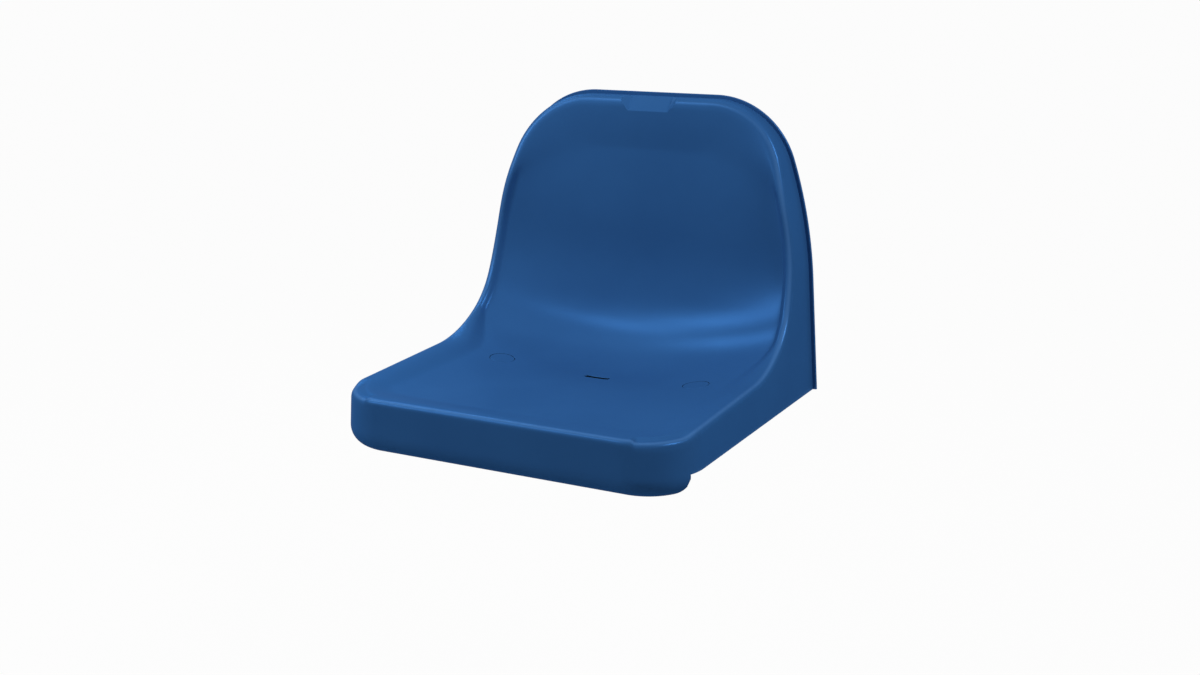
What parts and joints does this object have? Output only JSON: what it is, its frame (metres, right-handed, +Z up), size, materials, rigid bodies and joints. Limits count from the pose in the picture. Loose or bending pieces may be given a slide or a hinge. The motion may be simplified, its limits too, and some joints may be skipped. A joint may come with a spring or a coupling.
{
  "type": "stadium seat",
  "caption": "Fixed stadium seat: moulded bucket shell with rim bead, deep front edge and drain slot, bolted down through two capped wells.",
  "frame": {"origin": "middle of the two fixing points, on the plane that the seat is bolted to", "axes": "+X to the left-hand side of the sitter as the seat is seen from the front on the right, -Y forwards, the way the sitter faces, +Z up"},
  "size_m": [0.442, 0.401, 0.3843],
  "materials": {
    "shell_plastic": "fine-grained moulded blue polypropylene, satin",
    "cap_plastic": "moulded blue polypropylene, as the shell",
    "zinc_steel": "zinc-plated steel"
  },
  "bodies": {
    "seat": {"seat_shell": "shell_plastic", "flat_washer_left": "zinc_steel", "spring_washer_left": "zinc_steel", "fixing_bolt_left": "zinc_steel", "flat_washer_right": "zinc_steel", "spring_washer_right": "zinc_steel", "fixing_bolt_right": "zinc_steel"},
    "cap_left": {"fixing_cap_left": "cap_plastic"},
    "cap_right": {"fixing_cap_right": "cap_plastic"}
  },
  "joints": [
    {"name": "cap_left_pull", "type": "slide", "parent": "seat", "child": "cap_left", "axis": [0, 0, 1], "range_m": [0, 0.012]},
    {"name": "cap_right_pull", "type": "slide", "parent": "seat", "child": "cap_right", "axis": [0, 0, 1], "range_m": [0, 0.012]}
  ]
}
